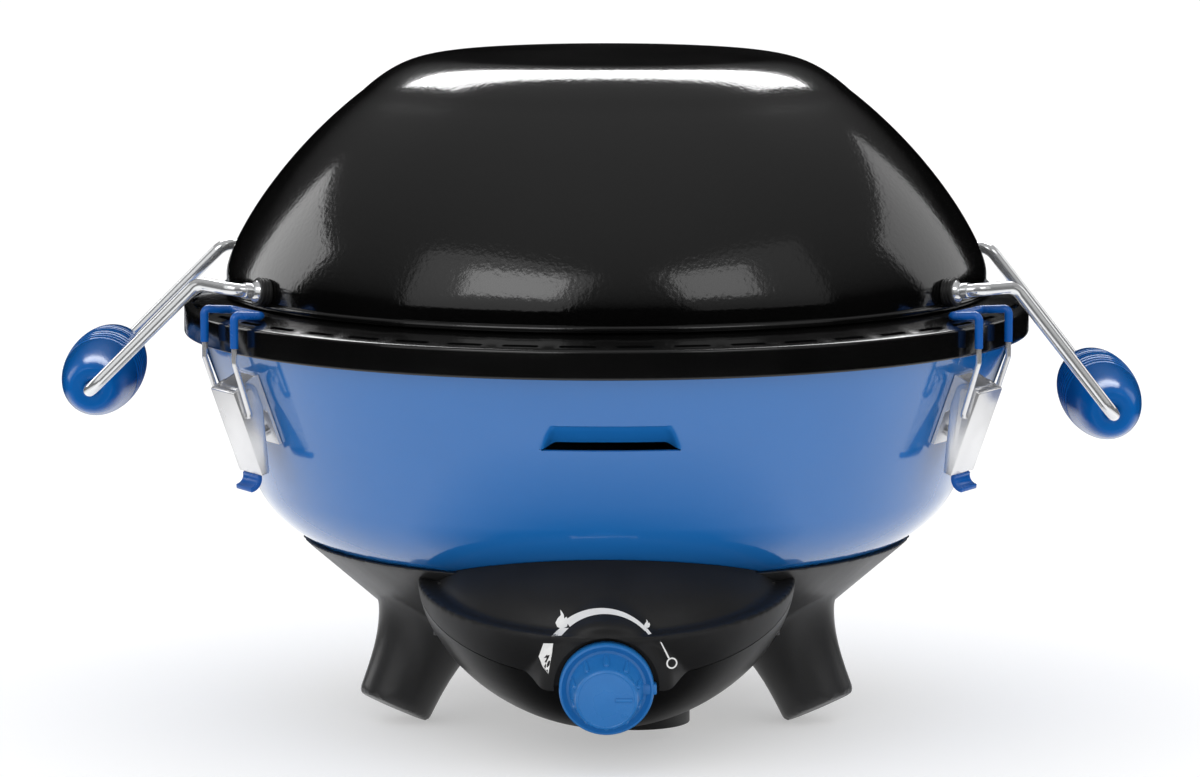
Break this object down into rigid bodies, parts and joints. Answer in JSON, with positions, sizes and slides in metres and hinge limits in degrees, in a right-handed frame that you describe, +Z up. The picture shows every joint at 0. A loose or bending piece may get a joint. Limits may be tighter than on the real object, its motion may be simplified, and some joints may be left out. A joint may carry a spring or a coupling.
{
  "type": "portable camping grill",
  "caption": "Round lidded gas grill: blue enamelled tub with slotted rim and toggle latches, black domed lid with wire handles, three-legged cradle and front control pod.",
  "frame": {"origin": "on the ground, under the middle of the round tub", "axes": "+Z up, -Y to the front where the control knob is, +X to the right seen from the front"},
  "size_m": [0.5299, 0.4286, 0.3232],
  "materials": {
    "lid_enamel": "glossy black vitreous enamel",
    "rim_enamel": "semi-gloss black enamel",
    "bowl_enamel": "glossy blue enamel",
    "cradle_plastic": "satin black moulded plastic",
    "fascia_plastic": "fine-grained charcoal moulded plastic",
    "blue_plastic": "glossy blue moulded plastic",
    "blue_sleeve": "smooth blue plastic sleeve",
    "chrome_wire": "bright chrome plate",
    "latch_steel": "bright plated steel",
    "black_rubber": "matt black heat-resistant plastic",
    "brass": "turned brass",
    "burner_steel": "plain steel, slightly heat-tinted",
    "pan_steel": "bright pressed aluminium",
    "grid_steel": "plated wire",
    "screw_steel": "zinc-plated steel",
    "ceramic": "white glazed insulator",
    "lead_rubber": "red high-tension lead"
  },
  "bodies": {
    "base": {"bowl": "bowl_enamel", "rim_ring": "rim_enamel", "base_cradle": "cradle_plastic", "control_fascia": "fascia_plastic", "control_belly": "cradle_plastic", "gas_tap": "brass", "gas_inlet_cup": "cradle_plastic", "inlet_nipple": "brass", "feed_pipe": "burner_steel", "gas_injector": "brass", "mixing_tube": "burner_steel", "burner_head": "burner_steel", "burner_plate": "burner_steel", "burner_screws": "screw_steel", "spark_generator": "black_rubber", "spark_electrode": "ceramic", "spark_lead": "lead_rubber", "drip_pan": "pan_steel", "cradle_screws": "screw_steel", "pod_screws": "screw_steel", "latch_brackets": "latch_steel", "latch_rivets": "latch_steel", "latch_pins": "latch_steel"},
    "grid": {"cooking_grid": "grid_steel"},
    "knob": {"control_knob": "blue_plastic", "tap_stem": "brass"},
    "lid": {"lid_shell": "lid_enamel", "handle_wire_left": "chrome_wire", "handle_wire_right": "chrome_wire", "handle_spacers": "black_rubber", "handle_washers": "chrome_wire", "handle_collars": "chrome_wire", "handle_nuts": "screw_steel"},
    "grip_l": {"grip_left": "blue_plastic"},
    "grip_r": {"grip_right": "blue_plastic"},
    "lever_left": {"latch_lever_left": "latch_steel", "latch_tip_left": "blue_sleeve"},
    "bail_left": {"latch_bail_left": "latch_steel", "latch_sleeve_left": "blue_sleeve"},
    "lever_right": {"latch_lever_right": "latch_steel", "latch_tip_right": "blue_sleeve"},
    "bail_right": {"latch_bail_right": "latch_steel", "latch_sleeve_right": "blue_sleeve"},
    "lever_rear": {"latch_lever_rear": "latch_steel", "latch_tip_rear": "blue_sleeve"},
    "bail_rear": {"latch_bail_rear": "latch_steel", "latch_sleeve_rear": "blue_sleeve"}
  },
  "joints": [
    {"name": "lid_lift", "type": "slide", "parent": "base", "child": "lid", "axis": [0, 0, 1], "range_m": [0, 0.2]},
    {"name": "grid_lift", "type": "slide", "parent": "base", "child": "grid", "axis": [0, 0, 1], "range_m": [0, 0.01]},
    {"name": "knob_turn", "type": "hinge", "parent": "base", "child": "knob", "pos_m": [0, -0.193, 0.0416], "axis": [0, -0.9925, -0.1219], "range_deg": [0, 158]},
    {"name": "grip_spin_left", "type": "hinge", "parent": "lid", "child": "grip_l", "pos_m": [-0.248, 0, 0.16557], "axis": [0, 1, 0], "continuous": true},
    {"name": "grip_spin_right", "type": "hinge", "parent": "lid", "child": "grip_r", "pos_m": [0.2435, 0, 0.15377], "axis": [0, 1, 0], "continuous": true},
    {"name": "latch_lever_left", "type": "hinge", "parent": "base", "child": "lever_left", "pos_m": [-0.17563, -0.1014, 0.168], "axis": [-0.5, 0.866, 0], "range_deg": [0, 90]},
    {"name": "latch_bail_left", "type": "hinge", "parent": "lever_left", "child": "bail_left", "pos_m": [-0.17614, -0.1017, 0.157], "axis": [-0.5, 0.866, 0], "range_deg": [-180.5, 0]},
    {"name": "latch_lever_right", "type": "hinge", "parent": "base", "child": "lever_right", "pos_m": [0.17563, -0.1014, 0.168], "axis": [-0.5, -0.866, 0], "range_deg": [0, 90]},
    {"name": "latch_bail_right", "type": "hinge", "parent": "lever_right", "child": "bail_right", "pos_m": [0.17614, -0.1017, 0.157], "axis": [-0.5, -0.866, 0], "range_deg": [-180.5, 0]},
    {"name": "latch_lever_rear", "type": "hinge", "parent": "base", "child": "lever_rear", "pos_m": [0, 0.2028, 0.168], "axis": [1, 0, 0], "range_deg": [0, 90]},
    {"name": "latch_bail_rear", "type": "hinge", "parent": "lever_rear", "child": "bail_rear", "pos_m": [0, 0.20339, 0.157], "axis": [1, 0, 0], "range_deg": [-180.5, 0]}
  ],
  "couplings": [
    {"joint": "latch_bail_left", "follows": "latch_lever_left", "ratio": -2},
    {"joint": "latch_bail_right", "follows": "latch_lever_right", "ratio": -2},
    {"joint": "latch_bail_rear", "follows": "latch_lever_rear", "ratio": -2}
  ]
}
